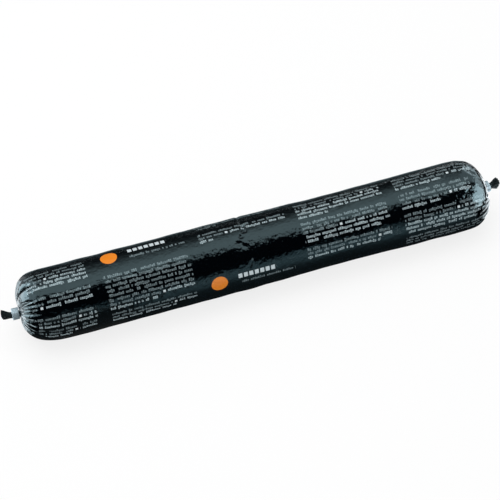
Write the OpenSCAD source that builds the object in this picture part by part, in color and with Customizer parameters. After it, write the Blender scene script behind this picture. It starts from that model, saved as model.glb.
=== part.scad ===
// Flexible foil pack of caulk, also called a sausage: a film tube filled with sealant,
// gathered to a pleated neck at each end and closed there by a crimped wire clip.
// The pack lies along X on its pressed side, with the floor at z = 0.
// Angles round the pack run from +Y (0) over the top (90) to the front (180).

/* [Filled body] */
// Diameter of the filled pack
body_d = 49; // [46:0.5:52]
// Length between the two end faces
body_len = 329; // [250:5:400]
// Depth to which the resting side is pressed flat
flat_depth = 0.8; // [0.4:0.1:1.6]
// Loss of radius at the slack waist
waist_depth = 0.8; // [0.2:0.1:1.2]
// Place of the waist along the pack, from its middle
waist_x = 58; // [50:2:80]
// Half length of the waist
waist_half = 38; // [24:2:44]

/* [Crease across the top] */
// Depth of the crease
crease_depth = 0.5; // [0.2:0.1:1]
// Place of the crease along the pack, from its middle
crease_x = -10; // [-20:1:20]
// Half width of the crease along the pack
crease_half = 3; // [2:0.5:6]
// Angle round the pack at the middle of the crease
crease_angle = 80; // [40:2:90]
// Angle from the middle of the crease to each of its ends
crease_reach = 66; // [30:2:70]

/* [Lap seam of the film] */
// Angle round the pack at the seam's free edge
seam_angle = 325; // [305:5:345]
// Width over which the two layers overlap
seam_w = 9; // [6:0.5:12]
// Height of the step at the free edge
seam_step = 0.3; // [0.2:0.1:0.6]

/* [Left end] */
// Length of the rounding from the end face to the body
left_shoulder = 26; // [20:0.5:30]
// Squareness of the rounding: 2 is an ellipse, more is blunter
left_curve = 2.85; // [2.2:0.1:3.4]
// Share by which the rounding is longer on the lower front side
left_skew = 0.26; // [0:0.02:0.4]
// Distance by which the end face stands out on the lower front side, and back on the other
left_face = 0; // [0:0.1:1]
// Number of pleats
left_pleats = 26; // [16:1:34]
// Depth of the pleats
left_pleat_depth = 2; // [1:0.1:2.6]
// Angle by which the neck leans up
left_lean = 2; // [0:0.5:6]
// Height of the neck above the middle of the end face
left_rise = -0.5; // [-1.5:0.1:1.5]

/* [Right end] */
// Length of the rounding from the end face to the body
right_shoulder = 24; // [18:0.5:28]
// Squareness of the rounding: 2 is an ellipse, more is blunter
right_curve = 2.9; // [2.2:0.1:3.4]
// Share by which the rounding is longer on the lower front side
right_skew = 0; // [0:0.02:0.4]
// Distance by which the end face stands out on the lower front side, and back on the other
right_face = 0.9; // [0:0.1:1.2]
// Number of pleats
right_pleats = 19; // [12:1:30]
// Depth of the pleats
right_pleat_depth = 1.7; // [1:0.1:2.6]
// Angle by which the neck leans up
right_lean = 7; // [0:0.5:8]
// Height of the neck above the middle of the end face
right_rise = 0; // [-1.5:0.1:1.5]

/* [Hollow round the neck] */
// Depth of the hollow below the end face
hollow_depth = 2.8; // [2.2:0.1:3.6]
// Radius at which the hollow meets the end face
hollow_r = 11; // [9:0.5:14]

/* [Clips] */
// Width of the clip along the neck
clip_w = 4.75; // [4:0.25:6]
// Height over the clip's two legs
clip_h = 7.2; // [6.8:0.1:8.4]
// Depth of the clip from its bow to its closed legs
clip_t = 7.2; // [6.9:0.1:8]
// Thickness of the clip's wire
clip_wire = 1.35; // [1.1:0.05:1.5]
// Rounding along the wire's edges
clip_edge = 0.4; // [0.2:0.05:0.55]
// Gap between the two closed legs
clip_gap = 0.1; // [0.05:0.05:0.3]
// Length of the leg ends that are pressed into the film
clip_tip = 0.5; // [0.2:0.1:0.7]
// Depth to which the clip sits in the hollow, from the end face
clip_sink = 0.5; // [0.3:0.1:0.8]
// Clearance between the film and the clip
clip_fit = 0.08; // [0.04:0.02:0.2]

/* [Tails beyond the clips] */
// Length of the left tail
left_tail = 6; // [4:0.5:12]
// Height of the left tail at its cut end
left_tail_h = 6.2; // [5.2:0.1:8]
// Distance by which the left tail bends up
left_lift = 1.4; // [0:0.1:2]
// Length of the right tail
right_tail = 5.9; // [4:0.5:12]
// Height of the right tail at its cut end
right_tail_h = 8.4; // [5.2:0.1:10]
// Distance by which the right tail bends up
right_lift = 0.3; // [0:0.1:2]
// Thickness of both tails at the cut end
tail_t = 5.4; // [4:0.1:7]
// Number of folds in each tail
tail_folds = 11; // [7:2:15]
// Share of the tail's radius that its folds take at the cut end
tail_fold_share = 0.34; // [0.1:0.02:0.45]
// Slant of the cut, as a length over the tail's height
tail_slant = 0.9; // [0:0.1:1.6]

/* [Hidden] */

film_colour = "#171b1d";
clip_colour = "#b8c2c8";

points_round = 96;   // points in each ring of the film
dome_rings = 15;     // rings from the neck to the end of the rounding
tail_rings = 4;      // rings from the clip to the cut end
part_rings = 7;      // rings of the body on each side of the crease
side_up = 33;        // angle towards which necks and tails lean
side_down = 213;     // angle at which a skewed rounding is longest
curve_fn = 48;       // facets that stand for a full turn of the wire's bends
wire_fn = 24;        // facets that stand for a full turn of the wire's edges
neck_square = 6;     // squareness of the neck against the leg ends
tail_gap = 0.15;     // straight film between a clip and the flare of its tail
pit_share = 0.35;    // depth of the pit in a tail's cut end, as a share of the tail
body_gap = 2;        // plain film between a rounding and the first ring of the body
face_fade = 0.5;     // how soon the slant of an end face dies away towards the body
left_phase = 40;     // angles that shift the pleats of each end, so that the ends differ
right_phase = 110;
pleat_crest = 0.25;  // height of the pleats' ridges, as a share of their depth
pleat_reach = 0.86;  // mean reach of the pleats over the rounding, as a share of it
reach_wide = 0.12;   // change of that reach round the pack, in four waves
reach_fine = 0.1;    // and in seven
pleat_fade = 1.2;    // how soon the pleats die away
bunch_wide = 34;     // angle by which the pleats bunch and spread, in three waves
bunch_fine = 22;     // and in five

half_len = body_len / 2;
body_r = body_d / 2;
axis_z = body_r - flat_depth;        // height of the pack's axis above the floor
foot = half_len - hollow_depth;      // outward place of the foot of each neck
clip_in = half_len - clip_sink;      // outward place of a clip's inner side
clip_out = clip_in + clip_w;         // and of its outer side
bow_r = clip_h / 2;                  // outer radius of the clip's bow
hole_r = bow_r - clip_wire;          // inner radius of the bow
lobe_r = (clip_h - clip_gap) / 4;    // outer radius of each closed leg's bend
leg_len = clip_t - bow_r - lobe_r;   // straight part of each leg
neck_r = hole_r - clip_fit;          // film inside the bow
neck_back = leg_len - clip_tip - clip_fit; // film between the bow's centre and the leg ends
ring_angles = [for (i = [0:points_round - 1]) i * 360 / points_round];

// Values that every surface shares

function smooth(t) = let (c = min(max(t, 0), 1)) c * c * (3 - 2 * c);

// Angle from one direction round the pack to another, between -180 and 180
function turn(a, b) = (a - b + 540) % 360 - 180;

// Round ridges (1) with sharp valleys (0) between them, bunched unevenly round the pack
function ridge(a, count, phase) =
    abs(sin(count * a / 2 + bunch_wide * sin(3 * a + phase) + bunch_fine * sin(5 * a - 2 * phase)));

// Radius of the film inside a clip: a half circle in the bow, and squarer against the leg ends
function neck_outline(a) =
    cos(a) <= 0 ? neck_r
    : pow(pow(abs(sin(a)) / neck_r, neck_square) + pow(cos(a) / neck_back, neck_square), -1 / neck_square);

// Step of the lap seam, sharp at its free edge and fading over its width
function seam(a) =
    let (across = turn(seam_angle, a) * PI / 180 * body_r / seam_w)
    across >= 0 && across <= 1 ? seam_step * (1 - smooth(across)) : 0;

// Rings of the film

// A point at outward place s, radius r and angle a, raised and swung up about the neck's foot
function end_point(side, s, r, a, lean, rise) =
    let (
        out = s - foot,
        up = r * cos(a - side_up),
        across = r * sin(a - side_up),
        s_leant = foot + out * cos(lean) - up * sin(lean),
        up_leant = rise + out * sin(lean) + up * cos(lean)
    )
    [side * s_leant,
     up_leant * cos(side_up) - across * sin(side_up),
     up_leant * sin(side_up) + across * cos(side_up)];

// Rings from a tail's cut end to its clip
function tail_ring_list(side, tail, tail_h, lift, lean, rise, phase) =
    [for (j = [tail_rings:-1:0])
        let (v = j / tail_rings, flare = smooth(v))
        [for (a = ring_angles)
            let (
                open_r = 1 / norm([cos(a) * 2 / tail_t, sin(a) * 2 / tail_h]),
                fold = 1 - tail_fold_share * v * (1 - ridge(a, tail_folds, phase)),
                r = (neck_outline(a) * (1 - flare) + open_r * flare) * fold,
                s = clip_out + tail_gap + v * (tail + tail_slant * sin(a - side_up))
            )
            end_point(side, s, r, a, lean, rise + v * lift)
        ]
    ];

// Rings from a clip over the hollow and the pleated dome to the body
function dome_ring_list(side, shoulder, curve, skew, face, pleats, depth, lean, rise, phase) =
    let (start = asin(pow(neck_r / body_r, curve / 2)))
    [for (i = [0:dome_rings])
        let (
            u = i / dome_rings,
            t = start + (90 - start) * u,
            r = body_r * pow(sin(t), 2 / curve),
            sunk = 1 - pow(min(r / hollow_r, 1), 2),
            near = smooth((hollow_r - r) / (hollow_r - neck_r)),
            push_s = pow(cos(t), 2 - 2 / curve) / shoulder,
            push_r = pow(r / body_r, curve - 1) / body_r,
            push = norm([push_s, push_r])
        )
        [for (a = ring_angles)
            let (
                length = shoulder * (1 + skew * cos(a - side_down)),
                reach = pleat_reach + reach_wide * sin(4 * a + phase) + reach_fine * sin(7 * a - phase),
                pleat = (1 + pleat_crest) * ridge(a, pleats, phase) - 1,
                height = depth * pleat * smooth(r / hollow_r) * pow(max(1 - u / reach, 0), pleat_fade),
                slant = face * cos(a - side_down) * (1 - near) * pow(cos(t), face_fade),
                s = half_len - length * (1 - pow(cos(t), 2 / curve)) - hollow_depth * sunk * sunk
                    + slant + height * push_s / push,
                ring_r = r * (1 - near) + neck_outline(a) * near + height * push_r / push
                    + seam(a) * smooth(r / body_r)
            )
            end_point(side, s, ring_r, a, lean * near, rise * near)
        ]
    ];

function end_ring_list(
    side, shoulder, curve, skew, face, pleats, depth, lean, rise, tail, tail_h, lift, phase
) =
    concat(
        tail_ring_list(side, tail, tail_h, lift, lean, rise, phase),
        dome_ring_list(side, shoulder, curve, skew, face, pleats, depth, lean, rise, phase)
    );

// Radius of the body at a place along it and an angle round it
function body_radius(x, a) =
    let (
        waist = waist_depth * exp(-pow((x - waist_x) / waist_half, 2)),
        crease = crease_depth * smooth(1 - abs(x - crease_x) / crease_half)
            * smooth(1 - abs(turn(a, crease_angle)) / crease_reach)
    )
    body_r - waist - crease + seam(a);

function body_ring(x) =
    [for (a = ring_angles) [x, body_radius(x, a) * cos(a), body_radius(x, a) * sin(a)]];

// Places along the body: even steps on each side of the crease, and three rings in it
left_start = -half_len + left_shoulder * (1 + left_skew) + body_gap;
right_start = half_len - right_shoulder * (1 + right_skew) - body_gap;
crease_left = crease_x - crease_half;
crease_right = crease_x + crease_half;
body_places = concat(
    [for (i = [0:part_rings - 1]) left_start + (crease_left - left_start) * i / part_rings],
    [crease_left, crease_x, crease_right],
    [for (i = [1:part_rings]) crease_right + (right_start - crease_right) * i / part_rings]
);

function backwards(list) = [for (i = [len(list) - 1:-1:0]) list[i]];

film_rings = concat(
    end_ring_list(-1, left_shoulder, left_curve, left_skew, left_face, left_pleats,
        left_pleat_depth, left_lean, left_rise, left_tail, left_tail_h, left_lift, left_phase),
    [for (x = body_places) body_ring(x)],
    backwards(end_ring_list(1, right_shoulder, right_curve, right_skew, right_face, right_pleats,
        right_pleat_depth, right_lean, right_rise, right_tail, right_tail_h, right_lift, right_phase))
);

// The middle of a cut end, set back into the tail as a shallow pit
function pit(side, tail, lift, lean, rise) =
    let (v = 1 - pit_share)
    end_point(side, clip_out + tail_gap + v * tail, 0, 0, lean, rise + v * lift);

// The resting side is pressed flat: no point lies below the floor
function rested(p) = [p[0], p[1], max(p[2], -axis_z) + axis_z];

// One closed skin: film with the sealant inside, its two necks and its two tails
module film_pack() {
    rings = len(film_rings);
    last = (rings - 1) * points_round;
    left_pit = rings * points_round;
    right_pit = left_pit + 1;
    skin = [for (ring = film_rings, p = ring) rested(p)];
    color(film_colour)
        polyhedron(
            points = concat(skin, [
                rested(pit(-1, left_tail, left_lift, left_lean, left_rise)),
                rested(pit(1, right_tail, right_lift, right_lean, right_rise))
            ]),
            faces = concat(
                [for (j = [0:rings - 2], i = [0:points_round - 1])
                    let (a = j * points_round + i, b = j * points_round + (i + 1) % points_round)
                    each [[b, a, a + points_round], [b, a + points_round, b + points_round]]
                ],
                [for (i = [0:points_round - 1]) [i, (i + 1) % points_round, left_pit]],
                [for (i = [0:points_round - 1]) [last + (i + 1) % points_round, last + i, right_pit]]
            ),
            convexity = 10
        );
}

// Clips

// Cross-section of the flat wire, from the inner face outwards, with rounded edges
module wire_section() {
    inset = clip_edge;
    translate([inset, -clip_w / 2])
        square([clip_wire - 2 * inset, clip_w]);
    translate([0, -clip_w / 2 + inset])
        square([clip_wire, clip_w - 2 * inset]);
    for (x = [inset, clip_wire - inset], y = [-1, 1])
        translate([x, y * (clip_w / 2 - inset)])
            circle(r = inset, $fn = wire_fn);
}

// The wire bent through an angle, from the +X side, with the given inner radius
module wire_bend(angle, inner_r) {
    rotate_extrude(angle = angle, $fn = curve_fn)
        translate([inner_r, 0])
            wire_section();
}

// A straight run of the wire along +X, with its inner face at y = 0
module wire_run(run) {
    rotate([90, 0, 90])
        linear_extrude(height = run)
            wire_section();
}

// One half of the closed clip: a quarter of the bow, a leg, and the leg's end bent in
module half_clip() {
    rotate([0, 0, 90])
        wire_bend(90, hole_r);
    translate([0, hole_r, 0])
        wire_run(leg_len);
    translate([leg_len, bow_r - lobe_r, 0])
        rotate([0, 0, -90])
            wire_bend(180, lobe_r - clip_wire);
    translate([leg_len - clip_tip, clip_gap / 2, 0])
        wire_run(clip_tip);
}

// A whole clip on the neck of one end, raised and leaning with it
module clip(side, lean, rise) {
    color(clip_colour)
        translate([side * foot, rise * cos(side_up), axis_z + rise * sin(side_up)])
            rotate(a = side * lean, v = [0, -sin(side_up), cos(side_up)])
                translate([side * (clip_in + clip_w / 2 - foot), 0, 0])
                    rotate([90, 0, 90]) {
                        half_clip();
                        mirror([0, 1, 0])
                            half_clip();
                    }
}

module left_clip() {
    clip(-1, left_lean, left_rise);
}

module right_clip() {
    clip(1, right_lean, right_rise);
}

film_pack();
left_clip();
right_clip();
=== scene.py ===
import math

import bpy
import numpy as np
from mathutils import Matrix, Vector


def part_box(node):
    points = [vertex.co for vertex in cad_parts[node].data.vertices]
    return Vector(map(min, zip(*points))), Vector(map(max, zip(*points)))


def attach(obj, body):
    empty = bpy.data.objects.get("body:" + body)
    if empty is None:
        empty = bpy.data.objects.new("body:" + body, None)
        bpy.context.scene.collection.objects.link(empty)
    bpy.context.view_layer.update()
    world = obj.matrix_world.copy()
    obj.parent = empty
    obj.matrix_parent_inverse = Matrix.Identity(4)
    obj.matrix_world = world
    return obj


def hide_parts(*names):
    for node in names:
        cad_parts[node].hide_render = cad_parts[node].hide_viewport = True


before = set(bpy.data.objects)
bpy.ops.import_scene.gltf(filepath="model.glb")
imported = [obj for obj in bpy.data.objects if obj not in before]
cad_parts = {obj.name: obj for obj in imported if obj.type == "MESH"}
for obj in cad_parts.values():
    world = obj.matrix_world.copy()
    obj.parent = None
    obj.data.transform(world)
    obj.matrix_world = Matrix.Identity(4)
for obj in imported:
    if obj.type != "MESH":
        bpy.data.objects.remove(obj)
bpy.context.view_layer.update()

# The pack lies along X on its pressed side. Angles round it run from +Y (0) over the top (90) to the
# front (180). Lengths are in millimetres until a mesh is written.
mm = 0.001
tiny = 1e-6  # keeps a division away from zero
filmLow, filmHigh = (np.array(corner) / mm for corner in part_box("film_pack"))
bodyRadius = (filmHigh[1] - filmLow[1]) / 2
axisHeight = filmHigh[2] - bodyRadius  # of the pack's axis above the floor
aroundLength = 2 * math.pi * bodyRadius


# Small helpers for arrays and objects

def smoothStep(t):
    # An S-curve from 0 to 1 with level ends
    c = np.clip(t, 0, 1)
    return c * c * (3 - 2 * c)


def bell(t):
    # 1 at the middle, falling smoothly to 0 at a distance of 1
    return smoothStep(1 - np.abs(t))


def cosDeg(a):
    return np.cos(np.radians(a))


def sinDeg(a):
    return np.sin(np.radians(a))


def turnBetween(a, b):
    # Angle from b to a, between -180 and 180
    return (a - b + 540) % 360 - 180


def pathLength(x, y):
    # Distance down each column of a grid of places, from its first row
    steps = np.hypot(np.diff(x, axis=0), np.diff(y, axis=0))
    return np.concatenate([np.zeros((1, steps.shape[1])), np.cumsum(steps, axis=0)])


def pointGrid(x, y, z):
    return np.stack(np.broadcast_arrays(x, y, z), -1)


def newObject(name, data):
    made = bpy.data.objects.new(name, data)
    bpy.context.scene.collection.objects.link(made)
    return made


# The film: a closed skin from one cut end over its neck, dome and body to the other cut end

filmValues = {
    "bodyLen": 329,          # between the two end faces
    "waistDepth": 0.8,       # loss of radius at the slack waist
    "waistX": 58,
    "waistHalf": 38,
    "creaseHalf": 2.4,       # half width of the crease across the top
    "creasePower": 1.5,      # how sharp its valley is
    # Angle, place along the pack and depth at points of the crease
    "creasePath": [(14, -7.5, 0), (25, -7.5, 0.5), (67, -8.4, 0.85), (84, -7.8, 0.75), (92, -10.9, 0.5),
                   (100, -13.9, 0.4), (112, -12.5, 0.25), (120, -14.5, 0.12), (138, -13.5, 0.12),
                   (150, -12, 0.1), (176, -12.6, 0.12), (196, -9.3, 0.1), (210, -9, 0)],
    # Place along the pack, angle, radius and depth of small dents; a negative depth is a bump
    "dents": [(-7.5, 78, 2.4, 0.8), (-8.6, 88, 2.7, 0.95), (-11.5, 97, 2.5, 0.9), (-14.8, 107, 3.2, 0.85),
              (-11, 113, 3, 0.34), (-10.2, 135, 2.6, -0.5), (-10.6, 146, 2.4, 0.3), (45.5, 158, 4, 0.28),
              (48.7, 163, 5, -0.3), (53, 159, 4, 0.26)],
    "seamAngle": 325,        # free edge of the lap seam
    "seamWidth": 9,
    "seamStep": 0.3,         # height of that edge
    "filmEdge": 0.03,        # its least height, where the seam fades
    "hollowDepth": 2.8,      # hollow round each neck
    "hollowRadius": 11,
    "clipWidth": 4.75,
    "clipSink": 0.5,         # how far a clip stands in behind the end face
    "neckRadius": 2.17,      # film inside a clip's bow
    "neckBack": 1.245,       # and against its leg ends
    "neckSquare": 6,         # exponent of the squarer curve there
    "tailGap": 0.15,         # from a clip to where its tail opens
    "tailThick": 5.4,
    "tailSquare": 5,         # exponent of the cut end's oval
    "tailFolds": 11,
    "tailFineTimes": 2.5,    # fine folds for each main one
    "tailFineShare": 0.28,
    "tailFinePhase": 70,
    "tailFoldShare": 0.34,   # depth of the folds at the cut end, as a share of its size
    "tailSlant": 0.9,        # of the cut end
    "pitShare": 0.35,        # depth of the pit in the cut end, as a share of the tail
    "pitInner": 0.12,        # size of its innermost ring, as a share of the cut end
    "sideUp": 33,            # angle towards which necks and tails lean
    "sideDown": 213,         # angle at which a skewed rounding is longest

    # Each end: its dome's length (shoulder), exponent (curve) and how much longer it is at sideDown (skew),
    # the slant of its face, the solid's pleats and their depth, the lean and rise of its neck, and its tail's
    # length, height and climb (lift).
    # Folds: angle, turn along the fold, start and end as shares of the way from the neck to the body, depth,
    # and widths in degrees towards smaller and larger angles.
    # Creases: share of that way and angle of each end, depth and width; a negative depth is a raised ridge.
    "ends": {
        "left": {
            "side": -1, "shoulder": 26, "curve": 2.85, "skew": 0.26, "face": 0, "pleats": 26, "depth": 2,
            "lean": 2, "rise": -0.5, "tail": 6, "tailHeight": 6.2, "lift": 1.4, "phase": 40, "seed": 15,
            "folds": [
                (44, 0, 0.06, 0.72, 1.3, 1.6, 4), (58, 4, 0.06, 0.78, 1, 2.6, 3),
                (80.5, 10, -0.04, 0.95, 3.6, 3.4, 1.6), (109, 10, 0, 0.8, 2.2, 2.4, 3),
                (116, 10, 0.03, 0.95, 1.5, 3, 2.4), (124, 8, 0.04, 0.8, 1.2, 1.8, 2.4),
                (133, 8, 0.03, 0.9, 1.5, 4, 2), (147, 8, 0.03, 0.8, 1.4, 3, 5),
                (164, 30, 0.04, 0.95, 2.2, 2.4, 6), (181, 42, 0.04, 0.98, 2.2, 3, 6),
                (198, 42, 0.04, 0.95, 1.8, 3, 5)],
            "creases": [(0.72, 86, 0.72, 102, 0.25, 1.4), (0.68, 124, 0.62, 132, 0.3, 1.3)],
        },
        "right": {
            "side": 1, "shoulder": 24, "curve": 2.9, "skew": 0, "face": 0.9, "pleats": 19, "depth": 1.7,
            "lean": 7, "rise": 0, "tail": 5.9, "tailHeight": 8.4, "lift": 0.3, "phase": 110, "seed": 16,
            "folds": [
                (52, 0, 0.06, 0.7, 1.5, 4, 1.8), (70, 4, 0.05, 0.55, 2.2, 6, 2),
                (88, 0, 0.06, 0.5, 1.5, 1.8, 3), (104, 0, 0.06, 0.6, 1.4, 2.5, 1.6),
                (141, -2, -0.06, 0.58, 4.6, 7, 3.4), (152, 0, 0.08, 0.9, 0.5, 2, 3),
                (165, 8, 0.2, 1, 0.9, 3, 5), (180, 4, 0.12, 0.95, 1.1, 2.5, 5),
                (195, 4, 0.12, 0.95, 1.2, 2.5, 4)],
            "creases": [
                (0.8, 75, 0.775, 80, 0.35, 0.9), (0.775, 80, 0.71, 92, 0.5, 1),
                (0.67, 60, 0.6, 82, -0.35, 2.4), (0.6, 82, 0.6, 97, -0.35, 2.4),
                (0.9, 96, 0.855, 103, 0.2, 0.7), (0.84, 99, 0.78, 106, 0.25, 0.8),
                (0.94, 111, 0.86, 117, 0.25, 0.9), (0.92, 119, 0.8, 122, 0.35, 2)],
        },
    },
    "foldEase": (0.1, 0.4),  # shares of the way over which a fold deepens and fades
    "foldNarrow": 0.55,      # its width where it starts and ends, as a share of the full one
    "foldPower": 0.7,        # how folds grow with the radius

    # Random folds of the hidden side: first and last angle, spacing in degrees, and ranges for its change and
    # for a fold's start, end, depth, turn and widths
    "hidden": {"angles": (210, 398), "spacing": 11, "spread": (0.65, 1.4), "start": (0.05, 0.1),
               "end": (0.66, 0.95), "depth": (1.2, 2.4), "turn": (-6, 6), "width": (1.5, 4)},

    # Pleats and slack that are finer than the solid's own
    "pleatCrest": 0.25,      # height of their crests, as a share of the valleys' depth
    "pleatPower": 0.7,
    "pleatShare": 0.16,      # height of the even pleats beside the neck, as a share of the solid's
    "pleatReach": 0.6,       # where they end, as a share of the way from the neck to the body
    "reachWide": (0.12, 4),  # how far that wanders, and its waves round the pack
    "reachFine": (0.1, 7),
    "pleatFade": 1.2,
    "swayWide": (34, 3),     # sway of the ridges in degrees of their wave, and its waves round the pack
    "swayFine": (22, 5),
    "fineShare": 0.14,       # height of the fine pleats, as a share of the main ones
    "fineTimes": 2.6,        # fine pleats for each main one
    "finePhase": 50,
    "fineMiddle": 0.6,       # part of a ridge that counts as level
    "fineReach": 0.6,
    # Lines that run from the pleats into the body: height, lines for each pleat, phase, part of a ridge that
    # counts as level, and the fade's start from the end face, reach and power
    "tension": {"height": 0.07, "times": 1.5, "phase": 65, "level": 0.64, "start": 12, "reach": 26,
                "power": 1.5},
    "slackHeight": 0.1,      # long slack waves of the body
    "slackLength": 26,
    "crumpleHeight": 0.05,   # short waves near the ends
    "crumpleLength": 7,
    "crumplePlace": 14,      # distance from the end face where they are highest
    "crumpleSpan": 22,
    "waveCount": 14,
    "waveStretch": (0.7, 1.4),
    "seed": 11,

    # Points and rings of the mesh, and the spacing of the body's rings
    "pointsRound": 430,
    "pitRings": 4,
    "tailRings": 10,
    "domeRings": 58,
    "bodyGap": 2,            # between a dome and the body's first ring
    "endStep": 2.2,          # spacing beside the domes
    "endSpan": 25,
    "creaseStep": 0.6,       # at the crease
    "creaseMiddle": -11,
    "creaseSpan": 5,
    "bodyStep": 6,           # elsewhere
    "spacingSamples": 4000,
}

halfLen = filmValues["bodyLen"] / 2
neckFoot = halfLen - filmValues["hollowDepth"]
clipOut = halfLen - filmValues["clipSink"] + filmValues["clipWidth"]


def ridges(a, count, phase):
    # The size of a sine wave, swayed by two slower ones: uneven round ridges (1) with sharp valleys (0)
    (wide, wideWaves), (fine, fineWaves) = filmValues["swayWide"], filmValues["swayFine"]
    return np.abs(sinDeg(count * a / 2 + wide * sinDeg(wideWaves * a + phase)
                         + fine * sinDeg(fineWaves * a - 2 * phase)))


def waves(x, a, length, seed):
    # Sum of sine waves of about one wavelength and random directions, each a whole number round the pack
    f = filmValues
    count = f["waveCount"]
    random = np.random.default_rng(seed)
    directions = random.uniform(0, math.pi, count)
    phases = random.uniform(0, 360, count)
    stretches = random.uniform(*f["waveStretch"], count)
    total = np.zeros(np.broadcast(x, a).shape)
    for direction, phase, stretch in zip(directions, phases, stretches):
        wavesRound = round(aroundLength / (length * stretch) * math.cos(direction))
        along = 360 / (length * stretch) * math.sin(direction)
        total = total + sinDeg(along * x + wavesRound * a + phase)
    return total / math.sqrt(count / 2)


def neckOutline(a):
    # Radius of a half circle in the clip's bow, and of a superellipse against the leg ends
    f = filmValues
    across = np.abs(sinDeg(a)) / f["neckRadius"]
    back = np.maximum(cosDeg(a), tiny) / f["neckBack"]
    square = (across ** f["neckSquare"] + back ** f["neckSquare"]) ** (-1 / f["neckSquare"])
    return np.where(cosDeg(a) <= 0, f["neckRadius"], square)


def seamHeight(a, share):
    # Height of the upper layer over the lap: full at its free edge, fading over the seam's width
    f = filmValues
    across = turnBetween(f["seamAngle"], a) * math.pi / 180 * bodyRadius / f["seamWidth"]
    inside = (across >= 0) & (across <= 1)
    return np.where(inside, f["seamStep"] * (1 - smoothStep(across)), 0) * share


def dentSum(dents, along, a, radius):
    # Sum of round dents: each is a bell of its depth over its distance along and round the surface
    total = np.zeros(np.broadcast(along, a).shape)
    for place, angle, reach, depth in dents:
        away = np.hypot(along - place, turnBetween(a, angle) * math.pi / 180 * radius) / reach
        total = total - depth * bell(np.minimum(away, 1))
    return total


def creaseSum(creases, u, arc, a, radius):
    # Each crease falls off exponentially with the distance from a straight line between its two ends
    total = np.zeros(np.broadcast(u, a).shape)
    for startU, startAngle, endU, endAngle, depth, width in creases:
        start, end = np.interp((startU, endU), u[:, 0], arc[:, 0])
        along, across = arc - start, np.radians(turnBetween(a, startAngle)) * radius
        lineAlong, lineAcross = end - start, math.radians(endAngle - startAngle) * radius
        lineSquare = lineAlong ** 2 + lineAcross ** 2 + tiny
        share = np.clip((along * lineAlong + across * lineAcross) / lineSquare, 0, 1)
        away = np.hypot(along - share * lineAlong, across - share * lineAcross)
        total = total - depth * np.exp(-away / width)
    return total


def foldList(e):
    # The end's own folds, and random ones of the same kind round its hidden side
    h = filmValues["hidden"]
    random = np.random.default_rng(e["seed"])
    folds = list(e["folds"])
    angle, last = h["angles"]
    while angle < last:
        start, depth = random.uniform(*h["start"]), random.uniform(*h["depth"])
        turn, end = random.uniform(*h["turn"]), random.uniform(*h["end"])
        below, above = random.uniform(*h["width"]), random.uniform(*h["width"])
        folds.append((angle, turn, start, end, depth, below, above))
        angle += h["spacing"] * random.uniform(*h["spread"])
    return folds


def foldSum(folds, u, a):
    # Each fold falls off exponentially to both sides of its valley, which deepens after its start and
    # fades before its end
    f = filmValues
    deepens, fades = f["foldEase"]
    total = np.zeros(np.broadcast(u, a).shape)
    for angle, turn, start, end, depth, below, above in folds:
        away = turnBetween(a, angle + turn * (u - 0.5))
        share = smoothStep((u - start) / deepens) * smoothStep((end - u) / fades)
        width = np.where(away < 0, below, above) * (f["foldNarrow"] + (1 - f["foldNarrow"]) * share)
        total = total - depth * share * np.exp(-np.abs(away) / width)
    return total


def pleatSum(e, u, a, r):
    # A power of even ridges, with finer ones on them, which grow out of the neck and fade towards the body
    f = filmValues
    (wide, wideWaves), (fine, fineWaves) = f["reachWide"], f["reachFine"]
    reach = (f["pleatReach"] + wide * sinDeg(wideWaves * a + e["phase"])
             + fine * sinDeg(fineWaves * a - e["phase"]))
    main = (1 + f["pleatCrest"]) * ridges(a, e["pleats"], e["phase"]) ** f["pleatPower"] - 1
    small = ridges(a, f["fineTimes"] * e["pleats"], e["phase"] + f["finePhase"]) - f["fineMiddle"]
    small = f["fineShare"] * small * np.clip(1 - u / f["fineReach"], 0, 1)
    fade = smoothStep(r / f["hollowRadius"]) * np.clip(1 - u / reach, 0, 1) ** f["pleatFade"]
    return f["pleatShare"] * e["depth"] * (main + small) * fade


def surfaceDetail(x, a):
    # Slack waves all along, tension lines and short crumples that fade from the domes into the body
    f = filmValues
    fromEnd = halfLen - np.abs(x)
    detail = f["slackHeight"] * waves(x, a, f["slackLength"], f["seed"])
    pleats = np.where(x < 0, *(e["pleats"] for e in f["ends"].values()))
    t = f["tension"]
    lines = ridges(a, t["times"] * pleats, t["phase"]) - t["level"]
    fade = np.clip(1 - (fromEnd - t["start"]) / t["reach"], 0, 1) ** t["power"]
    detail = detail + t["height"] * lines * fade
    crumples = f["crumpleHeight"] * waves(x, a, f["crumpleLength"], f["seed"] + 1)
    return detail + crumples * bell((fromEnd - f["crumplePlace"]) / f["crumpleSpan"])


def swungPoint(side, s, r, a, lean, rise):
    # A point at outward place s, radius r and angle a, raised and swung up about the neck's foot
    sideUp = filmValues["sideUp"]
    up, across, out = r * cosDeg(a - sideUp), r * sinDeg(a - sideUp), s - neckFoot
    sLeant = neckFoot + out * cosDeg(lean) - up * sinDeg(lean)
    upLeant = rise + out * sinDeg(lean) + up * cosDeg(lean)
    c, d = cosDeg(sideUp), sinDeg(sideUp)
    return pointGrid(side * sLeant, upLeant * c - across * d, upLeant * d + across * c)


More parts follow.
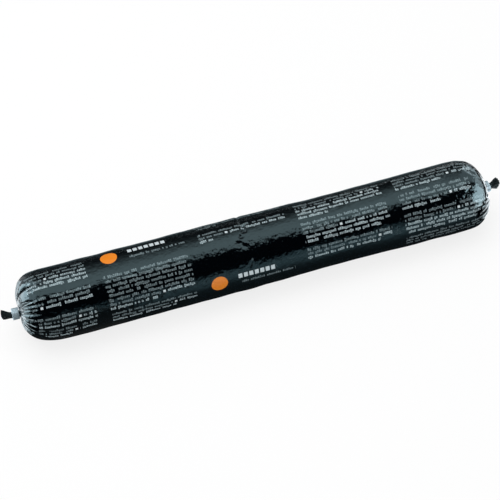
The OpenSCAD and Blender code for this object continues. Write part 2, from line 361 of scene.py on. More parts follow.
def tailPart(e, a):
    # The neck opens from the clip's outline to a superellipse at the cut end, in folds that deepen outwards;
    # beyond the cut they turn back in as a shallow pit
    f = filmValues
    pit = np.linspace(f["pitInner"], 1, f["pitRings"] + 1)[:-1]
    inward = np.concatenate([pit, np.ones(f["tailRings"])])[:, None]
    cut = np.concatenate([np.ones(f["pitRings"]), np.linspace(1, 0, f["tailRings"])])[:, None]
    flare = smoothStep(cut)
    oval = (np.abs(cosDeg(a) * 2 / f["tailThick"]) ** f["tailSquare"]
            + np.abs(sinDeg(a) * 2 / e["tailHeight"]) ** f["tailSquare"]) ** (-1 / f["tailSquare"])
    fine = ridges(a, f["tailFineTimes"] * f["tailFolds"], e["phase"] + f["tailFinePhase"])
    folds = (1 - f["tailFineShare"]) * ridges(a, f["tailFolds"], e["phase"]) + f["tailFineShare"] * fine
    fold = 1 - f["tailFoldShare"] * cut * (1 - folds)
    r = (neckOutline(a) * (1 - flare) + oval * flare) * fold * inward
    depth = 1 - (1 - inward) * f["pitShare"]
    s = clipOut + f["tailGap"] + cut * depth * (e["tail"] + f["tailSlant"] * inward * sinDeg(a - f["sideUp"]))
    return s, r, e["lean"] + 0 * cut, e["rise"] + cut * e["lift"]


def domePart(e, a):
    # A superellipse from the neck to the body, sunk round the neck by the square of a parabola; relief
    # stands out along its normal
    f = filmValues
    start = np.degrees(np.arcsin((f["neckRadius"] / bodyRadius) ** (e["curve"] / 2)))
    u = np.linspace(0, 1, f["domeRings"])[:, None]
    t = start + (90 - start) * u
    c = np.maximum(cosDeg(t), 0)
    r = bodyRadius * sinDeg(t) ** (2 / e["curve"])
    climb = c ** (2 / e["curve"])
    sunk = 1 - np.minimum(r / f["hollowRadius"], 1) ** 2
    near = smoothStep((f["hollowRadius"] - r) / (f["hollowRadius"] - f["neckRadius"]))
    pushS = c ** (2 - 2 / e["curve"]) / e["shoulder"]
    pushR = (r / bodyRadius) ** (e["curve"] - 1) / bodyRadius
    push = np.hypot(pushS, pushR)
    height = pleatSum(e, u, a, r) + foldSum(foldList(e), u, a) * (r / bodyRadius) ** f["foldPower"]
    height = height + creaseSum(e["creases"], u, pathLength(r, e["shoulder"] * climb), a, r)
    down = cosDeg(a - f["sideDown"])
    length = e["shoulder"] * (1 + e["skew"] * down)
    slant = e["face"] * down * (1 - near) * np.sqrt(c)
    plainS = halfLen - length * (1 - climb)
    s = plainS - f["hollowDepth"] * sunk ** 2 + slant + height * pushS / push
    grown = smoothStep(r / bodyRadius)
    height = height + surfaceDetail(e["side"] * plainS, a) * grown
    ringR = r * (1 - near) + neckOutline(a) * near + height * pushR / push + seamHeight(a, grown)
    return s, ringR, e["lean"] * near, e["rise"] * near, plainS, r


def bodyPlaces():
    # Ring places along the body: close beside the domes and at the crease, wider elsewhere
    f = filmValues
    left, right = (e["shoulder"] * (1 + e["skew"]) + f["bodyGap"] for e in f["ends"].values())
    x = np.linspace(left - halfLen, halfLen - right, f["spacingSamples"])
    near = 2 - np.abs(x - f["creaseMiddle"]) / f["creaseSpan"]
    step = f["bodyStep"] + (f["creaseStep"] - f["bodyStep"]) * smoothStep(near)
    fromDome = np.minimum(x - x[0], x[-1] - x)
    step = step + (f["endStep"] - f["bodyStep"]) * smoothStep(1 - fromDome / f["endSpan"])
    count = np.concatenate([[0], np.cumsum(np.diff(x) / step[1:])])
    return np.interp(np.linspace(0, count[-1], int(count[-1]) + 2), count, x)[:, None]


def bodyPart(x, a):
    # A cylinder less its waist, a Gaussian along it, and less its crease, a power of the nearness to the
    # crease's path, plus the dents, the lap seam and the slack of the film
    f = filmValues
    waist = f["waistDepth"] * np.exp(-((x - f["waistX"]) / f["waistHalf"]) ** 2)
    angles, places, depths = zip(*f["creasePath"])
    middle, deep = np.interp(a % 360, angles, places), np.interp(a % 360, angles, depths)
    crease = deep * np.clip(1 - np.abs(x - middle) / f["creaseHalf"], 0, 1) ** f["creasePower"]
    return (bodyRadius - waist - crease + dentSum(f["dents"], x, a, bodyRadius) + seamHeight(a, 1)
            + surfaceDetail(x, a))


def stacked(*grids):
    # Grids one below another, each widened to all the points of a ring
    columns = filmValues["pointsRound"] + 1
    return np.concatenate([np.broadcast_to(grid, (len(grid), columns)) for grid in grids])


def filmSurface():
    # Rings of points from the left cut end to the right one, pressed flat on the floor, and the film's length
    # along each column, measured on its smooth shape, and round the rings
    f = filmValues
    a = f["seamAngle"] - 360 + np.linspace(0, 360, f["pointsRound"] + 1)[None, :]
    parts, places = {}, {}
    for name, e in f["ends"].items():
        tailS, tailR, tailLean, tailRise = tailPart(e, a)
        domeS, domeR, domeLean, domeRise, plainS, plainR = domePart(e, a)
        parts[name] = swungPoint(e["side"], stacked(tailS, domeS), stacked(tailR, domeR), a,
                                 stacked(tailLean, domeLean), stacked(tailRise, domeRise))
        length = pathLength(stacked(tailS.mean(1, keepdims=True), plainS),
                            stacked(tailR.mean(1, keepdims=True), plainR))
        places[name] = e["side"] * (plainS[-1] + length[-1] - length)
    x = bodyPlaces()
    r = bodyPart(x, a)
    body = pointGrid(x, r * cosDeg(a), r * sinDeg(a))
    points = np.concatenate([parts["left"], body, parts["right"][::-1]])
    points[:, -1, 1:] += f["filmEdge"] * np.array([cosDeg(f["seamAngle"]), sinDeg(f["seamAngle"])])
    points[..., 2] = np.maximum(points[..., 2], -axisHeight) + axisHeight
    along = stacked(places["left"], x, places["right"][::-1])
    return points, along, np.linspace(0, aroundLength, f["pointsRound"] + 1)


def skinObject(name, points, along, around):
    # Quads between neighbouring rings, closed round the pack, and a fan of triangles in each cut end
    rings, columns = points.shape[:2]
    ring, column = np.indices((rings - 1, columns)).reshape(2, -1)
    after = (column + 1) % columns
    quads = np.stack([ring * columns + column, ring * columns + after,
                      (ring + 1) * columns + after, (ring + 1) * columns + column], 1)
    i = np.arange(columns)
    j, last = (i + 1) % columns, (rings - 1) * columns
    leftFan = np.stack([j, i, np.full(columns, rings * columns)], 1)
    rightFan = np.stack([last + i, last + j, np.full(columns, rings * columns + 1)], 1)
    poles = np.stack([points[0].mean(0), points[-1].mean(0)])
    mesh = bpy.data.meshes.new(name)
    mesh.from_pydata((np.concatenate([points.reshape(-1, 3), poles]) * mm).tolist(), [],
                     quads.tolist() + leftFan.tolist() + rightFan.tolist())
    mesh.shade_smooth()
    # The film laid flat is the UV map
    u = (along - along.min()) / (along.max() - along.min())
    v = np.append(around, around[-1]) / around[-1]
    quadUv = [(u[ring, column], v[column]), (u[ring, after], v[column + 1]),
              (u[ring + 1, after], v[column + 1]), (u[ring + 1, column], v[column])]
    leftUv = [(0 * i, v[i + 1]), (0 * i, v[i]), (0 * i, v[i])]
    rightUv = [(0 * i + 1, v[i]), (0 * i + 1, v[i + 1]), (0 * i + 1, v[i])]
    uv = np.concatenate([np.moveaxis(np.array(corners), 2, 0).reshape(-1, 2)
                         for corners in (quadUv, leftUv, rightUv)])
    layer = mesh.uv_layers.new(name="filmSheet")
    layer.data.foreach_set("uv", uv.astype(np.float32).ravel())
    # The crushed film beyond each clip is a finish of its own: rough, and reflecting less as painted shade of
    # its folds
    tail = filmValues["pitRings"] + filmValues["tailRings"] - 1
    shadedTailFaces = np.concatenate([(ring < tail) | (ring >= rings - 1 - tail), np.ones(2 * columns, bool)])
    mesh.polygons.foreach_set("material_index", shadedTailFaces.astype(np.int32))
    mesh.update()
    return newObject(name, mesh)


# Helpers for materials

def newMaterial(name):
    material = bpy.data.materials.new(name)
    material.use_nodes = True
    material.node_tree.nodes.clear()
    return material, material.node_tree


def setInput(tree, socket, value):
    # Links a node's result, or sets a constant
    if isinstance(value, bpy.types.NodeSocket):
        tree.links.new(value, socket)
    else:
        socket.default_value = value


def addNode(tree, kind, values=None, **settings):
    node = tree.nodes.new("ShaderNode" + kind)
    for key, value in settings.items():
        setattr(node, key, value)
    for key, value in (values or {}).items():
        setInput(tree, node.inputs[key], value)
    return node


def toOutput(tree, shader, kind="OutputMaterial"):
    addNode(tree, kind, {"Surface": shader.outputs[0]})


def calc(tree, operation, *values):
    # One Math node; its result
    return addNode(tree, "Math", dict(enumerate(values)), operation=operation).outputs[0]


def product(tree, first, *others):
    for other in others:
        first = calc(tree, "MULTIPLY", first, other)
    return first


def minus(tree, value, other):
    return calc(tree, "SUBTRACT", value, other)


def without(tree, value):
    # 1 less the value
    return minus(tree, 1.0, value)


def over(tree, value, limit):
    # 1 where the value is over the limit, otherwise 0
    return calc(tree, "GREATER_THAN", value, limit)


def raised(tree, value, least, more):
    # The least, and more by the value's share
    return calc(tree, "MULTIPLY_ADD", value, more, least)


def inBand(tree, value, low, high):
    # 1 between two values, otherwise 0
    return calc(tree, "COMPARE", value, (low + high) / 2, (high - low) / 2)


def mixColour(tree, share, a, b):
    # From colour a to colour b
    node = addNode(tree, "Mix", {0: share}, data_type="RGBA")
    setInput(tree, node.inputs[6], a)
    setInput(tree, node.inputs[7], b)
    return node.outputs[2]


def noise(tree, coords, scale, detail):
    values = {"Vector": coords, "Scale": scale, "Detail": detail}
    return addNode(tree, "TexNoise", values).outputs[0]


def bumps(tree, layers):
    # Bump nodes one over another, each from a height, a strength and a distance; the last one's normal
    normal = {}
    for height, strength, distance in layers:
        node = addNode(tree, "Bump", {
            "Height": height, "Strength": strength, "Distance": distance, **normal})
        normal = {"Normal": node.outputs[0]}
    return normal["Normal"]


def glossShader(tree, colour, rough, layers, others):
    # A Principled shader with bumps, sent to the output
    values = {"Base Color": colour, "Roughness": rough, "Normal": bumps(tree, layers)}
    toOutput(tree, addNode(tree, "BsdfPrincipled", {**values, **others}))


# Print on the film: blocks of small marks in rows, plain discs and bars. Places are in millimetres,
# along the film from its middle and round it from angle 0.
printValues = {
    "middleAngle": 122.2,    # the print's half turn has its middle here
    "linePitch": 3.1,
    "markPitch": 1.24,       # from one small mark to the next in a row
    "markWidth": 0.76,       # share of that pitch
    "widthSpread": 0.12,     # and how much it differs
    "markLow": 0.31,         # share of the line's pitch where a mark starts
    "markHigh": 0.74,
    "tallRise": 0.17,        # how much further a tall mark reaches up, or a deep one down
    "shortShare": 0.68,      # share of marks that aren't tall
    "shallowShare": 0.86,    # share of marks that aren't deep
    # Gap in the middle of a mark: half its width, its middle, least half height and how much more it may be
    "hole": (0.13, 0.53, -0.02, 0.2),
    "gapShare": 0.07,        # share of places left empty by chance
    "longestRun": 9,         # and every so many places
    "rowShift": 41.0,        # most places that a row is moved along by
    "repeatSeed": 37.0,
    "blockSeed": 11.3,
    # Square before the bold part: half width, half height in rows, and how far marks stay from its middle
    "square": (0.85, 0.27, 2.4),
    "ink": (0.172, 0.22, 0.235, 1),
    "boldInk": (0.41, 0.5, 0.53, 1),
    "whiteInk": (0.66, 0.74, 0.77, 1),
    "orange": (0.93, 0.27, 0.02, 1),
    "discRadius": 5.6,
    # Middle of each disc; start, end, low and high side of the broken bar from there
    "titlePlaces": [(-99.2, 29.9), (-33, 69.7)],
    "titleBar": (13.2, 39.6, -3.8, -0.4),
    "barPitch": 3.77,
    "barShare": 0.72,
    # Start and end along the film, middle of the first row, rows, end of the last row, first bold row, and
    # the place of its square
    "blocks": [
        (-157, -116, 27.8, 5, -116, 2, -143), (-157, -116, 47.7, 3, -116, 2, -150),
        (-155, -116, 62.3, 3, -116, 1, -127), (-156, -116, 72.7, 3, -134, 1, -131),
        (-106.8, -49, 45, 8, -75, 6, -70), (-106.8, -49, 71.4, 3, -62, 1, -63.5),
        (-86, -48.4, 33.9, 1, -48.4, 9, 0), (-39, 21, 20.6, 2, -24, 9, 0),
        (-39, 21, 31.7, 3, -30, 1, -20), (-17.7, 19.5, 73, 1, 19.5, 9, 0),
        (29, 89, 26.6, 5, 50, 1, 76.5), (29, 89, 44.2, 5, 82, 2, 55.5),
        (29, 89, 62.1, 3, 80, 1, 80), (98.5, 154, 27.4, 4, 131, 2, 137),
        (98.5, 149, 42.2, 4, 126, 2, 134), (98.5, 159, 56.8, 5, 149, 1, 137),
        (98.5, 155, 74.2, 3, 210, 9, 0),
    ],
}


def sheetPlaces(tree, lowest, highest):
    # Places along the film and round it, and which repeat of the print it is: one is half a turn
    p = printValues
    sheet = addNode(tree, "UVMap", uv_map="filmSheet").outputs[0]
    split = addNode(tree, "SeparateXYZ", {0: sheet})
    u = raised(tree, split.outputs[0], lowest, highest - lowest)
    aroundStart = (filmValues["seamAngle"] - 360) * math.pi / 180 * bodyRadius
    vWhole = raised(tree, split.outputs[1], aroundStart, aroundLength)
    half = aroundLength / 2
    turnStart = math.radians(p["middleAngle"]) * bodyRadius - half / 2
    turned = calc(tree, "DIVIDE", minus(tree, vWhole, turnStart), half)
    v = raised(tree, calc(tree, "FRACT", turned), turnStart, half)
    return u, v, calc(tree, "FLOOR", turned)


def blockSums(tree, u, v):
    # The values of the block at each point, and 0 where there is none
    keys = ("first", "rows", "lastEnd", "boldRow", "square")
    sums = dict.fromkeys(("inside", *keys), 0.0)
    pitch = printValues["linePitch"]
    for start, end, *values in printValues["blocks"]:
        first, rows = values[:2]
        mask = product(tree, inBand(tree, u, start, end),
                       inBand(tree, v, first - pitch / 2, first + pitch * (rows - 0.5)))
        sums["inside"] = calc(tree, "ADD", mask, sums["inside"])
        for key, value in zip(keys, values):
            sums[key] = raised(tree, mask, sums[key], float(value))
    return sums


def smallMarks(tree, u, inRow, rowSeed):
    # Each mark has random numbers of its own: whether it is there, how tall, deep, wide and open it is
    p = printValues
    shift = addNode(tree, "TexWhiteNoise", {"W": rowSeed}, noise_dimensions="1D").outputs[0]
    place = raised(tree, shift, calc(tree, "DIVIDE", u, p["markPitch"]), p["rowShift"])
    number = calc(tree, "FLOOR", place)
    cell = addNode(tree, "CombineXYZ", {0: number, 1: rowSeed})
    chance = addNode(tree, "TexWhiteNoise", {"Vector": cell.outputs[0]}, noise_dimensions="2D")
    random = addNode(tree, "SeparateXYZ", {0: chance.outputs[1]}).outputs
    run = calc(tree, "ABSOLUTE", calc(tree, "MODULO", number, float(p["longestRun"])))
    there = product(tree, over(tree, chance.outputs[0], p["gapShare"]), over(tree, run, 0.5))
    fromMiddle = calc(tree, "ABSOLUTE", minus(tree, calc(tree, "FRACT", place), 0.5))
    halfWidth = raised(tree, random[2], (p["markWidth"] - p["widthSpread"]) / 2, p["widthSpread"])
    tall = over(tree, random[0], p["shortShare"])
    deep = over(tree, random[1], p["shallowShare"])
    inside = product(tree, over(tree, halfWidth, fromMiddle),
                     over(tree, inRow, raised(tree, tall, p["markLow"], -p["tallRise"])),
                     over(tree, raised(tree, deep, p["markHigh"], p["tallRise"]), inRow))
    holeHalf, holeMiddle, holeLeast, holeMore = p["hole"]
    hole = product(tree, over(tree, holeHalf, fromMiddle),
                   calc(tree, "COMPARE", inRow, holeMiddle, raised(tree, random[1], holeLeast, holeMore)))
    return product(tree, there, inside, without(tree, hole))


def rowsOfMarks(tree, u, v, repeat):
    # Marks in the rows of every block, a square where the bold part starts, and that part
    p = printValues
    sums = blockSums(tree, u, v)
    row = calc(tree, "DIVIDE", minus(tree, v, sums["first"]), p["linePitch"])
    row = calc(tree, "ADD", row, 0.5)
    rowNumber, inRow = calc(tree, "FLOOR", row), calc(tree, "FRACT", row)
    lastRow = over(tree, rowNumber, minus(tree, sums["rows"], 1.5))
    pastEnd = over(tree, u, sums["lastEnd"])
    shown = product(tree, sums["inside"], without(tree, product(tree, lastRow, pastEnd)))
    rowSeed = raised(tree, sums["first"], rowNumber, p["blockSeed"])
    rowSeed = raised(tree, repeat, rowSeed, p["repeatSeed"])
    mark = smallMarks(tree, u, inRow, rowSeed)

    fromBold = minus(tree, rowNumber, sums["boldRow"])
    after = minus(tree, u, sums["square"])
    slack = 0.2  # tells whole row numbers apart
    firstBold = calc(tree, "COMPARE", fromBold, 0.0, slack)
    bold = calc(tree, "MAXIMUM", over(tree, fromBold, 0.5), product(tree, firstBold, over(tree, after, 0.0)))
    half, rise, clear = p["square"]
    square = product(tree, firstBold, calc(tree, "COMPARE", after, 0.0, half),
                     calc(tree, "COMPARE", inRow, 0.5, rise))
    nearSquare = product(tree, firstBold, calc(tree, "COMPARE", after, 0.0, clear))
    mark = calc(tree, "MAXIMUM", product(tree, mark, without(tree, nearSquare)), square)
    return product(tree, mark, shown), product(tree, square, shown), bold


def titles(tree, u, v):
    # A disc and a broken bar beside it at each title
    p = printValues
    disc = bar = 0.0
    barStart, barEnd, barLow, barHigh = p["titleBar"]
    for placeU, placeV in p["titlePlaces"]:
        du, dv = minus(tree, u, placeU), minus(tree, v, placeV)
        away = calc(tree, "SQRT", calc(tree, "ADD", product(tree, du, du), product(tree, dv, dv)))
        disc = calc(tree, "ADD", over(tree, p["discRadius"], away), disc)
        inBar = product(tree, inBand(tree, du, barStart, barEnd), inBand(tree, dv, barLow, barHigh))
        piece = calc(tree, "DIVIDE", minus(tree, du, barStart), p["barPitch"])
        inked = over(tree, p["barShare"], calc(tree, "FRACT", piece))
        bar = raised(tree, inBar, bar, inked)
    return disc, bar


finishValues = {
    "filmDark": (0.0003, 0.0007, 0.0014, 1),
    "filmPale": (0.0008, 0.0016, 0.0026, 1),
    "cloud": (90.0, 3.0),        # scale and detail of a noise
    "filmIor": 1.8,
    "glossTint": (0.64, 0.92, 1.0, 1),
    "filmRough": (0.055, 0.05),  # least roughness, and how much the cloud adds
    "inkRough": 0.08,            # what ink adds
    "wear": (700.0, 2.0),
    "inkTone": (0.72, 0.5),      # least strength of the ink, and how much its wear adds
    # Scale, detail and height of each bump
    "filmBumps": [(130.0, 2.0, 0.0002), (300.0, 1.0, 0.0003), (620.0, 2.0, 0.0002)],
    "crushedDark": (0.001, 0.0014, 0.0018, 1),
    "crushedPale": (0.016, 0.02, 0.022, 1),
    "crushedCloud": (700.0, 4.0),
    # The crushed tails reflect less: painted shade of their folds
    "crushedShadeIor": 1.32,
    "crushedRough": (0.26, 0.2),
    "crushedBump": 0.0003,
}


def filmMaterial(lowest, highest):
    # Glossy black film with the print laid over it
    p, g = printValues, finishValues
    material, tree = newMaterial("glossyBlackFilm")
    u, v, repeat = sheetPlaces(tree, lowest, highest)
    mark, square, bold = rowsOfMarks(tree, u, v, repeat)
    disc, bar = titles(tree, u, v)
    coords = addNode(tree, "TexCoord").outputs["Object"]
    cloud = noise(tree, coords, *g["cloud"])
    colour = mixColour(tree, cloud, g["filmDark"], g["filmPale"])
    tone = raised(tree, noise(tree, coords, *g["wear"]), *g["inkTone"])
    ink = mixColour(tree, bold, p["ink"], p["boldInk"])
    colour = mixColour(tree, product(tree, mark, tone), colour, ink)
    for share, shade in ((square, p["whiteInk"]), (bar, p["whiteInk"]), (disc, p["orange"])):
        colour = mixColour(tree, share, colour, shade)
    rough = raised(tree, mark, raised(tree, cloud, *g["filmRough"]), g["inkRough"])
    layers = [(noise(tree, coords, scale, detail), 1.0, height) for scale, detail, height in g["filmBumps"]]
    glossShader(tree, colour, rough, layers, {"IOR": g["filmIor"], "Specular Tint": g["glossTint"]})
    return material


def crushedShadedMaterial():
    # The same film crushed dull, with a fine grain; its weaker reflection is painted shade of the folds in
    # the tails
    g = finishValues
    material, tree = newMaterial("crushedShadedFilm")
    coords = addNode(tree, "TexCoord").outputs["Object"]
    cloud = noise(tree, coords, *g["crushedCloud"])
    glossShader(tree, mixColour(tree, cloud, g["crushedDark"], g["crushedPale"]),
                raised(tree, cloud, *g["crushedRough"]), [(cloud, 1.0, g["crushedBump"])],
                {"IOR": g["crushedShadeIor"], "Specular Tint": g["glossTint"]})
    return material


points, along, around = filmSurface()
film = skinObject("filmSkin", points, along, around)
film.data.materials.append(filmMaterial(float(along.min()), float(along.max())))
film.data.materials.append(crushedShadedMaterial())
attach(film, "root")
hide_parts("film_pack")
print("film:", len(film.data.polygons), "faces,", points.shape[0], "rings")


# Clips: the solids stay, in brushed aluminium

clipValues = {
    "colour": (0.42, 0.53, 0.59, 1),
    "worn": (0.28, 0.36, 0.4, 1),
    "wornFrom": 0.55,        # noise where wear starts, and where it is full
    "wornTo": 0.75,
    "metal": 0.5,
    "rough": (0.3, 0.2),     # least roughness, and how much the streaks add
    "streakScale": (300, 2200, 2200),
    "streaks": (1.0, 3.0),   # scale and detail of a noise
    "dents": (900.0, 2.0),
    "streakBump": (0.5, 0.00004),
    "dentBump": (0.6, 0.0001),
}


def clipMaterial():
    c = clipValues
    material, tree = newMaterial("clipAluminium")
    coords = addNode(tree, "TexCoord").outputs["Object"]
    stretched = addNode(tree, "Mapping", {"Vector": coords, "Scale": c["streakScale"]}).outputs[0]
    streaks = noise(tree, stretched, *c["streaks"])
    dents = noise(tree, coords, *c["dents"])
    wear = addNode(tree, "MapRange", {
        "Value": dents, "From Min": c["wornFrom"], "From Max": c["wornTo"]}).outputs[0]
    glossShader(tree, mixColour(tree, wear, c["colour"], c["worn"]), raised(tree, streaks, *c["rough"]),
                [(streaks, *c["streakBump"]), (dents, *c["dentBump"])], {"Metallic": c["metal"]})
    return material


aluminium = clipMaterial()
for name in ("left_clip", "right_clip"):
    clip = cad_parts[name]
    clip.data.materials.clear()
    clip.data.materials.append(aluminium)
print("clips: aluminium set")


# Studio: pale floor, white surroundings and a soft lamp overhead. Cards over and round the pack and a bowl
# of soft panels round each end are seen by gloss alone.

studioValues = {
    "floorColour": (0.93, 0.935, 0.94, 1),
    "floorSeen": 0.2,        # share of its colour that the camera sees by its light, and the rest as glow
    "floorGlow": 0.815,
    "floorSize": 8.0,
    "floorDrop": 0.0003,
    "worldFill": 0.42,
    "lampPlace": (-0.2, 0.2, 1.48),
    "lampSize": 1.3,
    "lampPower": 16.0,
    "cardTint": (0.97, 1.0, 1.0),
    "frontTint": (0.7, 0.92, 1.0),
    "archRadius": 0.9,
    # Arched cards over the pack: angle from the back, brightness, left and right edge there
    "archStops": [
        (0, 0.025, -0.3, 0.5), (10, 0.03, -0.3, 0.55), (22, 0.05, -0.4, 0.7), (32.6, 0.14, -0.5, 0.9),
        (49.4, 0.42, -0.85, 0.9), (64.4, 0.87, -0.85, 0.8), (78, 1.06, -0.85, 0.52), (91, 1.02, -0.85, 0.52),
        (103, 1, -0.85, 0.52), (105, 0, -0.85, 0.6), (110, 0, -0.85, 0.75)],
    "frontArchStops": [
        (110, 0, -0.85, 0.75), (140, 0, -0.85, 0.75), (150, 0, -0.85, 0.6), (163, 0, -0.5, 0.55),
        (166, 0.3, -0.35, 0.55), (169.4, 0.38, -0.3, 0.5), (172, 0.4, 0.03, 0.5), (180, 0.48, 0.08, 0.5)],
    "archStep": 2.5,
    "archColumns": 40,
    # Where the arch turns dark its edge wanders along the pack: places and turns, the edge's angle, and the
    # reach of the turns
    "edgeTurns": ([0.02, 0.052, 0.09, 0.184, 0.253], [-8, -8, 3, 0, -4]),
    "edgeAngle": 104,
    "edgeReach": 26,
    # Floor cards before and behind the pack: left edge near it and far away, right edge, then distances and
    # brightness
    # The front card darkens towards the pack: a painted shadow of the pack on the floor, seen in reflections
    "frontFloor": ((-0.1, 0.08), 0.185, [
        (0, 0.02), (0.0155, 0.04), (0.039, 0.09), (0.091, 0.315), (0.2, 0.42), (0.52, 0.49), (0.9, 0.49)]),
    "backFloor": ((-0.17, -0.17), 0.205, [
        (0, 0.36), (0.033, 0.24), (0.07, 0.12), (0.127, 0.05), (0.25, 0.03), (0.6, 0.02), (0.9, 0.02)]),
    "cardLift": 0.0006,
    # Dark cards before the left end: brightness, left edge, angles of the arched one, depth of the floor's
    "darkLevel": 0.04,
    "darkEnd": -1.3,
    "darkAngles": (108, 180),
    "darkStep": 3,
    "darkDepth": 0.9,
    # A bowl round each end: place along the pack, bearings it spans (0 is the front, 90 the right), and its
    # panels: bearing from and to, height in degrees from and to, brightness
    "leftBowl": (-0.16, -178, -28, [
        (-148, -94, -14, 46, 4.8), (-100, -78, -14, 24, 2), (-126, -84, -42, -14, 4.2),
        (-112, -58, -68, -28, 3.6), (-168, -122, -60, -12, 2.4), (-78, -32, -40, -16, 3.2),
        (-178, -60, 26, 70, 1.3), (-178, -120, -30, 40, 0.5)]),
    "rightBowl": (0.16, 18, 162, [
        (26, 86, -4, 52, 4.8), (84, 112, 0, 56, 2.4), (106, 154, 12, 36, 2.8), (96, 130, -46, -10, 4.4),
        (96, 150, -72, -42, 0.6), (54, 98, -40, -16, 3), (26, 100, -76, -26, 2.4), (139, 157, -45, 20, 0.7),
        (78, 162, 28, 70, 0.8)]),
    "bowlTint": (0.95, 0.97, 1.0),
    "bowlRadius": 0.2,
    "bowlHeights": (-72, 66),
    "bowlStep": 1.5,
    "bowlLift": 0.0009,
    "panelEdge": 7,          # width in degrees of a panel's soft edge
    # A bowl shows only in what is near it: distances where its fade starts and ends, and what is left
    "bowlFade": (0.225, 0.262, 0.12),
}


def floorMaterial():
    # The camera sees part of the floor's white as its own glow, so that the shadow stays soft
    s = studioValues
    material, tree = newMaterial("paleFloor")
    seen = addNode(tree, "LightPath").outputs["Is Camera Ray"]
    dimmed = tuple(s["floorSeen"] * part for part in s["floorColour"][:3]) + (1,)
    colour = mixColour(tree, seen, s["floorColour"], dimmed)
    shader = addNode(tree, "BsdfDiffuse", {"Color": colour})
    strength = product(tree, seen, s["floorGlow"])
    glow = addNode(tree, "Emission", {"Color": (1, 1, 1, 1), "Strength": strength})
    toOutput(tree, addNode(tree, "AddShader", {0: shader.outputs[0], 1: glow.outputs[0]}))
    return material


def levelMaterial(name, tint, fade=None):
    # Glows with the card's own brightness; with a fade, less for rays that come from far away
    material, tree = newMaterial(name)
    strength = addNode(tree, "Attribute", attribute_name="level").outputs["Fac"]
    if fade:
        start, end, faint = fade
        rayLength = addNode(tree, "LightPath").outputs["Ray Length"]
        share = addNode(tree, "MapRange", {
            "Value": rayLength, "From Min": start, "From Max": end, "To Min": 1.0, "To Max": faint})
        strength = product(tree, strength, share.outputs[0])
    toOutput(tree, addNode(tree, "Emission", {"Color": (*tint, 1), "Strength": strength}))
    return material


def levelCard(name, points, levels, material):
    # A grid of points with a brightness at each, seen by gloss alone
    rows, columns = points.shape[:2]
    corner = (np.arange(rows - 1)[:, None] * columns + np.arange(columns - 1)).ravel()
    faces = np.stack([corner, corner + 1, corner + columns + 1, corner + columns], 1)
    mesh = bpy.data.meshes.new(name)
    mesh.from_pydata(points.reshape(-1, 3).tolist(), [], faces.tolist())
    mesh.materials.append(material)
    level = mesh.attributes.new("level", "FLOAT", "POINT")
    level.data.foreach_set("value", np.broadcast_to(levels, (rows, columns)).astype(np.float32).ravel())
    made = newObject(name, mesh)
    for ray in ("camera", "diffuse", "shadow", "transmission", "volume_scatter"):
        setattr(made, "visible_" + ray, False)


def archPoints(a, left, right):
    # A strip of half cylinder about the pack's axis, between its edges at each angle; near one angle it is
    # turned by an amount that changes along the pack
    s = studioValues
    x = left[:, None] + (right - left)[:, None] * np.linspace(0, 1, s["archColumns"])
    turned = a[:, None] + np.interp(x, *s["edgeTurns"]) * bell((a[:, None] - s["edgeAngle"]) / s["edgeReach"])
    return pointGrid(x, s["archRadius"] * cosDeg(turned), s["archRadius"] * sinDeg(turned) + axisHeight * mm)


def floorPoints(left, right, y, lift):
    # A flat grid on the floor between its edges, with a row at each y
    sides = [np.column_stack(np.broadcast_arrays(edge, y, lift)) for edge in (left, right)]
    return np.stack(sides, 1)


def buildCards():
    # The arch from the floor behind the pack over the top to the floor in front, and a dark one at its left
    s = studioValues
    white, cool = levelMaterial("softCard", s["cardTint"]), levelMaterial("coolCard", s["frontTint"])
    for name, material in (("archStops", white), ("frontArchStops", cool)):
        angles, levels, lefts, rights = zip(*s[name])
        a = np.union1d(np.arange(angles[0], angles[-1], s["archStep"]), angles)
        levelCard(name, archPoints(a, np.interp(a, angles, lefts), np.interp(a, angles, rights)),
                  np.interp(a, angles, levels)[:, None], material)
    angles, _, lefts, _ = zip(*s["frontArchStops"])
    a = np.arange(s["darkAngles"][0], s["darkAngles"][1] + 1, s["darkStep"])
    levelCard("leftDarkCard", archPoints(a, np.full(len(a), s["darkEnd"]), np.interp(a, angles, lefts)),
              s["darkLevel"], white)
    # Floor cards in front of the pack and behind it, the front one with the pack's painted shadow near it,
    # and a dark one below the front one
    for name, side in (("frontFloor", -1), ("backFloor", 1)):
        (leftNear, leftFar), right, stops = s[name]
        distances, levels = (np.array(column) for column in zip(*stops))
        places = np.append(0, distances + bodyRadius * mm)
        left = leftNear + (leftFar - leftNear) * places / places[-1]
        levelCard(name, floorPoints(left, right, side * places, s["cardLift"]),
                  np.append(levels[0], levels)[:, None], cool)
    y = np.array([0, -s["darkDepth"]])
    levelCard("darkFloor", floorPoints(s["darkEnd"], s["frontFloor"][0][1], y, s["cardLift"] / 2),
              s["darkLevel"], white)


def buildBowls():
    # A sphere about each end, cut off just above the floor. Panels fade at their edges, and the brightest
    # one counts in each direction.
    s = studioValues
    edge = s["panelEdge"]
    lit = levelMaterial("bowlCard", s["bowlTint"], s["bowlFade"])
    middleUp = axisHeight * mm
    for name in ("leftBowl", "rightBowl"):
        x, first, last, panels = s[name]
        b = np.arange(first, last + 1, s["bowlStep"])[None, :]
        h = np.arange(s["bowlHeights"][0], s["bowlHeights"][1] + 1, s["bowlStep"])[:, None]
        level = np.zeros(np.broadcast(b, h).shape)
        for left, right, low, high, bright in panels:
            inside = (smoothStep((b - left) / edge) * smoothStep((right - b) / edge)
                      * smoothStep((h - low) / edge) * smoothStep((high - h) / edge))
            level = np.maximum(level, bright * inside)
        reach = np.minimum(s["bowlRadius"], (middleUp - s["bowlLift"]) / np.maximum(-sinDeg(h), tiny))
        out = pointGrid(sinDeg(b) * cosDeg(h), -cosDeg(b) * cosDeg(h), sinDeg(h))
        levelCard(name, out * reach[..., None] + np.array([x, 0, middleUp]), level, lit)


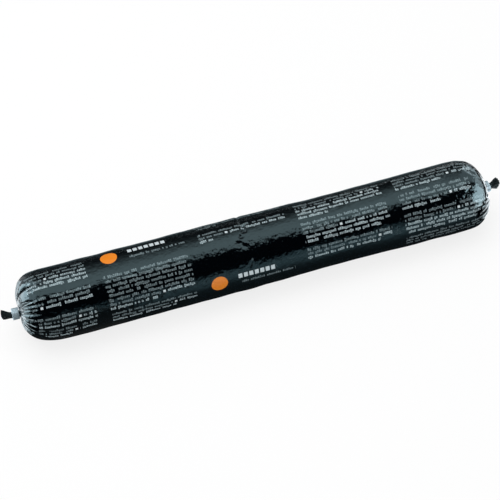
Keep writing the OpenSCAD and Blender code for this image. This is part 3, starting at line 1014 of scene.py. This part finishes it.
def buildFloor():
    s = studioValues
    h, d = s["floorSize"] / 2, -s["floorDrop"]
    mesh = bpy.data.meshes.new("floor")
    mesh.from_pydata([(-h, -h, d), (h, -h, d), (h, h, d), (-h, h, d)], [], [(0, 1, 2, 3)])
    mesh.materials.append(floorMaterial())
    newObject("floor", mesh)


def buildLamp():
    s = studioValues
    lamp = bpy.data.lights.new("overheadLamp", "AREA")
    lamp.shape = "SQUARE"
    lamp.size = s["lampSize"]
    lamp.energy = s["lampPower"]
    holder = newObject("overheadLamp", lamp)
    holder.location = s["lampPlace"]
    holder.rotation_euler = (-Vector(s["lampPlace"])).to_track_quat("-Z", "Y").to_euler()
    holder.visible_glossy = False


def buildWorld():
    # White for the camera and for reflections, softer as light
    s = studioValues
    world = bpy.data.worlds.new("studioWorld")
    world.use_nodes = True
    tree = world.node_tree
    tree.nodes.clear()
    path = addNode(tree, "LightPath").outputs
    seen = calc(tree, "MAXIMUM", path["Is Camera Ray"],
                calc(tree, "MAXIMUM", path["Is Glossy Ray"], path["Is Transmission Ray"]))
    strength = raised(tree, seen, s["worldFill"], 1 - s["worldFill"])
    background = addNode(tree, "Background", {"Color": (1, 1, 1, 1), "Strength": strength})
    toOutput(tree, background, "OutputWorld")
    world.cycles.sampling_method = "NONE"
    bpy.context.scene.world = world
    bpy.context.scene.view_settings.view_transform = "Standard"


# Camera: from above and a little to the left of the pack's front

cameraValues = {
    "azimuth": -17.88,
    "elevation": 55.61,
    "distance": 1.1753,
    "lens": 125.86,
    "sensor": 36,
    "right": 0.00437,        # the picture's middle lies this far from the target
    "up": 0.0005,
    "target": (0, 0, 0.024),
    "nearest": 0.05,         # what stands nearer, or farther than the next, isn't seen
    "farthest": 20,
}


def buildCamera():
    c = cameraValues
    data = bpy.data.cameras.new("camera")
    data.lens, data.sensor_width = c["lens"], c["sensor"]
    data.clip_start, data.clip_end = c["nearest"], c["farthest"]
    camera = newObject("camera", data)
    camera.rotation_euler = (math.radians(90 - c["elevation"]), 0, math.radians(c["azimuth"]))
    place = Vector((-c["right"], -c["up"], c["distance"]))
    camera.location = Vector(c["target"]) + camera.rotation_euler.to_matrix() @ place
    bpy.context.scene.camera = camera


buildFloor()
buildCards()
buildBowls()
buildLamp()
buildWorld()
buildCamera()
print("studio and camera: set")
